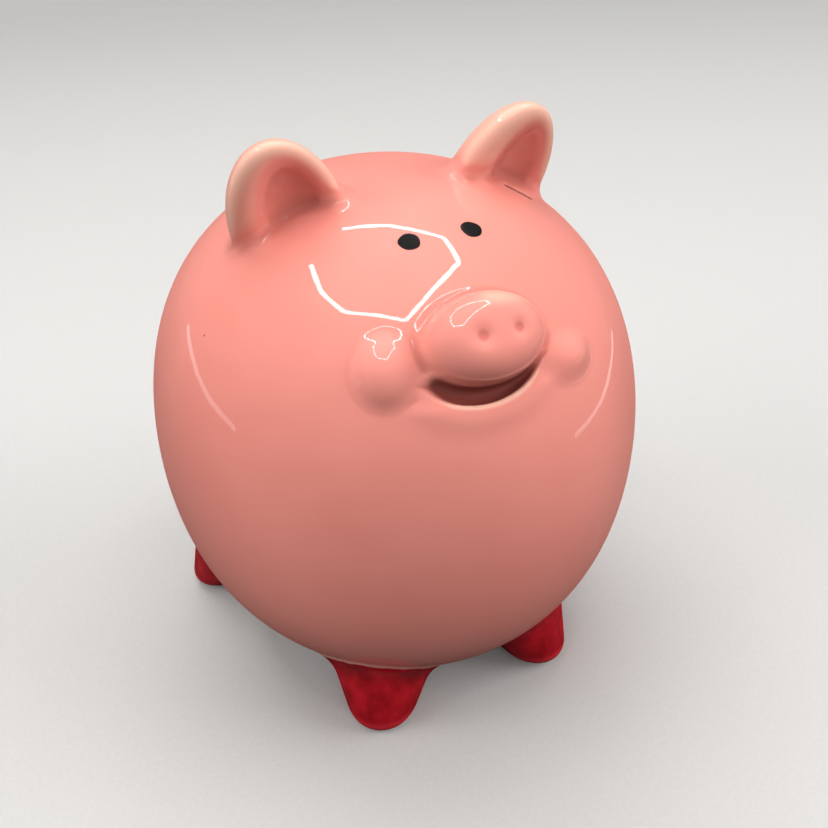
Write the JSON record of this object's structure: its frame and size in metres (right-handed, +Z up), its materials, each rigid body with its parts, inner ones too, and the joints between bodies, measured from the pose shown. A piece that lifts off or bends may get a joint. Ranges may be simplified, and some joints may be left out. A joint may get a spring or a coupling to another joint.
{
  "type": "piggy bank",
  "caption": "Round glazed ceramic piggy bank that looks up, with upright ears, short feet, a coin slot in the back and a pull-out rubber stopper in the belly.",
  "frame": {"origin": "on the ground, under the middle of the whole bank's box, 2.8 mm behind the round body's axis", "axes": "+Z up, the pig faces -Y, the pig's own left is +X"},
  "size_m": [0.125, 0.1386, 0.1498],
  "materials": {
    "pink_glaze": "clear gloss over salmon pink",
    "red_glaze": "clear gloss over brushed deep red",
    "black_enamel": "gloss black",
    "stopper_rubber": "soft translucent white, matt"
  },
  "bodies": {
    "bank": {"body_shell": "pink_glaze", "ear_left": "pink_glaze", "ear_right": "pink_glaze", "tail": "pink_glaze", "foot_front_left": "red_glaze", "foot_front_right": "red_glaze", "foot_rear_left": "red_glaze", "foot_rear_right": "red_glaze", "eye_left": "black_enamel", "eye_right": "black_enamel"},
    "stopper": {"stopper": "stopper_rubber"}
  },
  "joints": [
    {"name": "stopper_pull", "type": "slide", "parent": "bank", "child": "stopper", "axis": [0, 0, -1], "range_m": [0, 0.035]}
  ]
}
